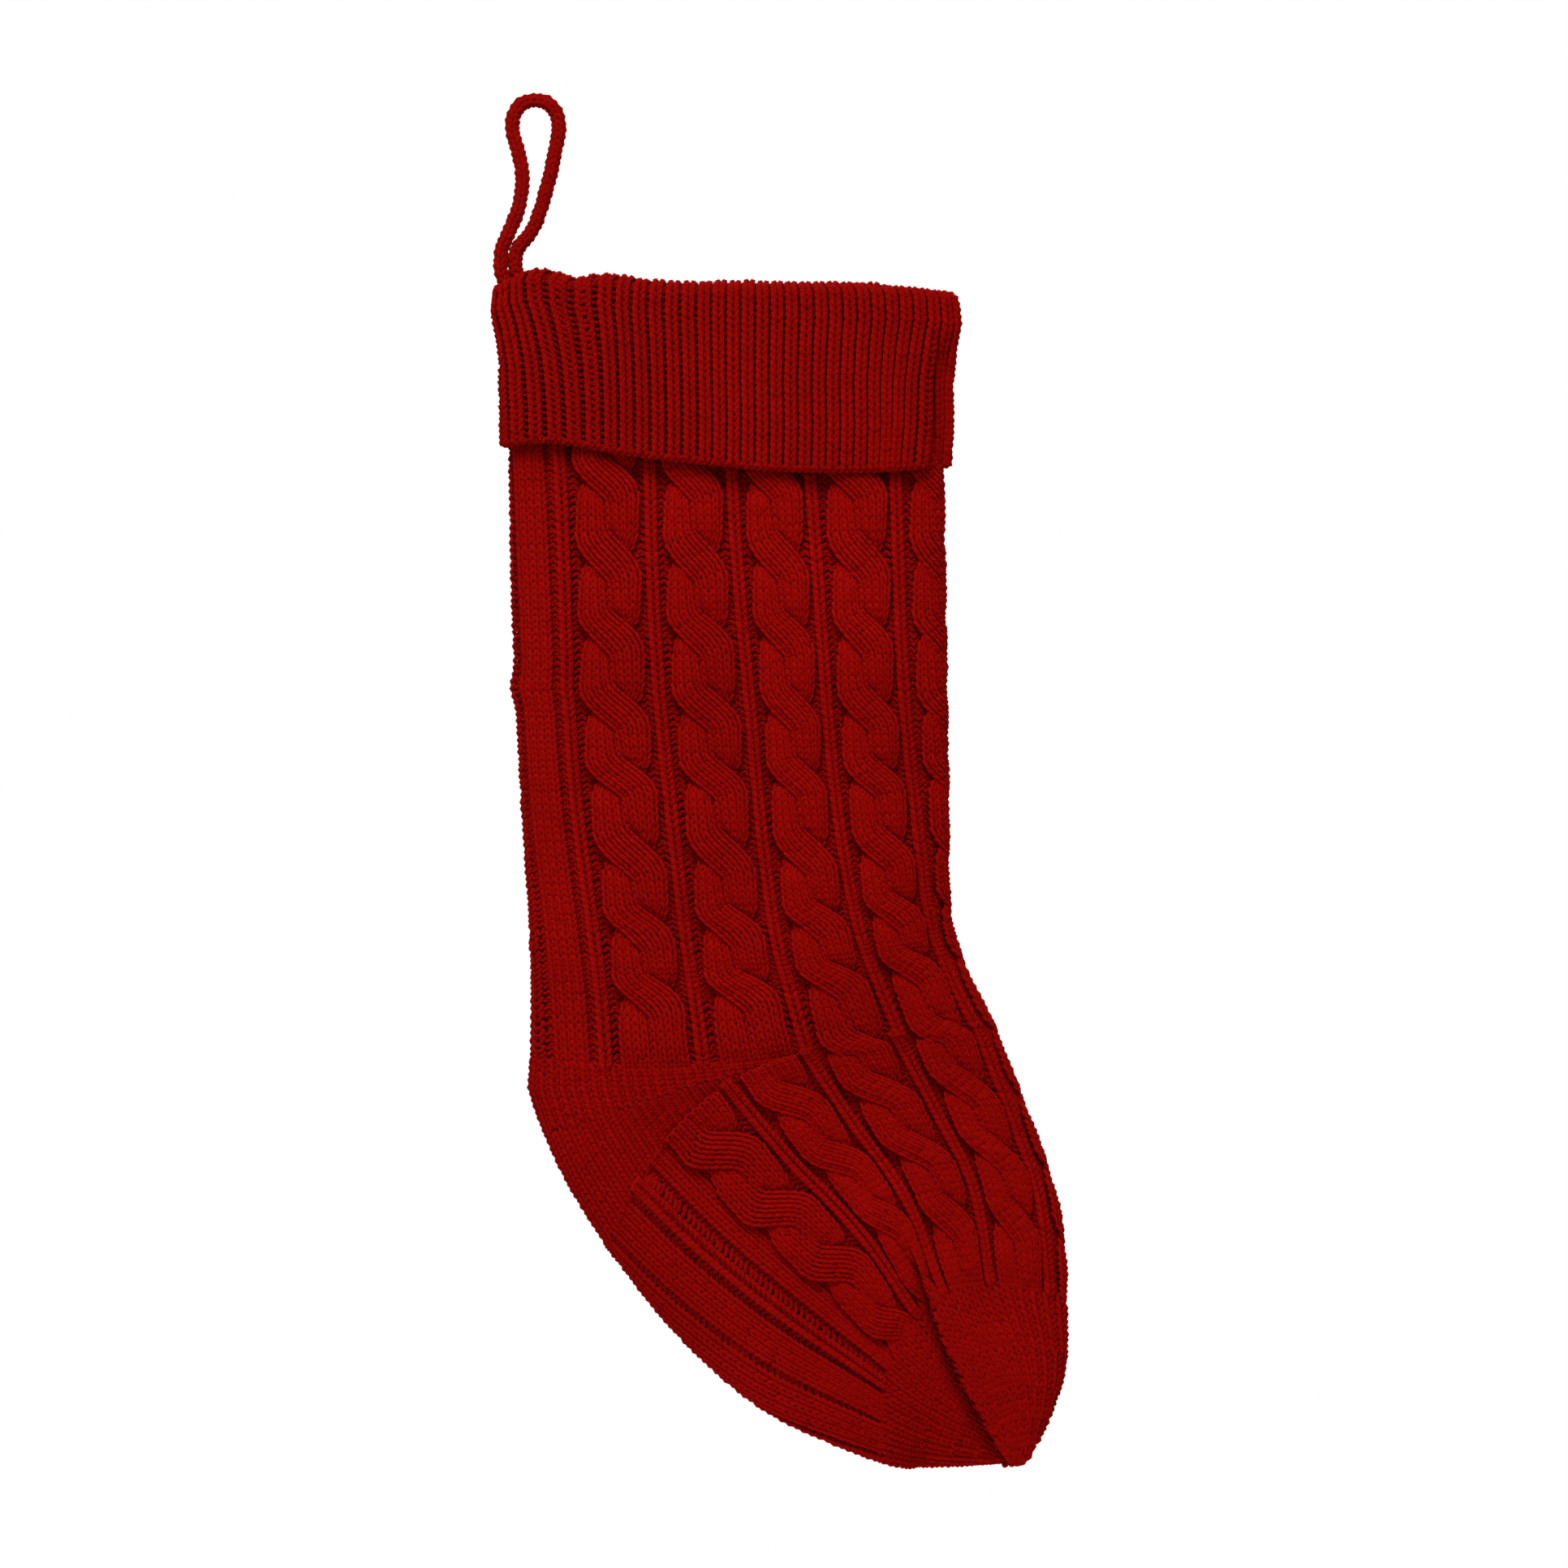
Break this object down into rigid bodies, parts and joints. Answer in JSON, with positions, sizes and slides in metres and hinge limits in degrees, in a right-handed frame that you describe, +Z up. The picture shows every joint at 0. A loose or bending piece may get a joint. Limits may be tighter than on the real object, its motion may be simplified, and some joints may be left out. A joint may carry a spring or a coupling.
{
  "type": "hanging stocking",
  "caption": "Cable-knit hanging stocking with a turned-down ribbed cuff, a turned heel and toe, and a knitted cord loop at the back corner that goes over a hook.",
  "frame": {"origin": "the point inside the top of the hanging loop where a hook bears", "axes": "+Z up, +X towards the toe, -Y out of the front face; the stocking hangs straight down"},
  "size_m": [0.22, 0.04, 0.526],
  "materials": {
    "loop_cord": "soft red acrylic yarn, knitted cord",
    "sewing_thread": "dark red twisted thread",
    "rib_knit": "soft red acrylic yarn, one by one rib",
    "cable_knit": "soft red acrylic yarn, cables and purl ladders",
    "plain_knit": "soft red acrylic yarn, plain knit"
  },
  "bodies": {
    "loop": {"hang_loop": "loop_cord"},
    "stocking": {"loop_ends": "loop_cord", "loop_tacks": "sewing_thread", "cuff_fold": "rib_knit", "cuff_turn_down": "rib_knit", "cuff_cast_off_edge": "rib_knit", "rib_band": "rib_knit", "leg_tube": "cable_knit", "heel_pocket": "plain_knit", "instep_panel": "cable_knit", "sole_panel": "cable_knit", "toe_cap": "plain_knit", "toe_closing_stitch": "sewing_thread"}
  },
  "joints": [
    {"name": "loop_swing", "type": "hinge", "parent": "loop", "child": "stocking", "pos_m": [-0.0104, 0, -0.059], "axis": [1, 0, 0], "range_deg": [-60, 60]}
  ]
}
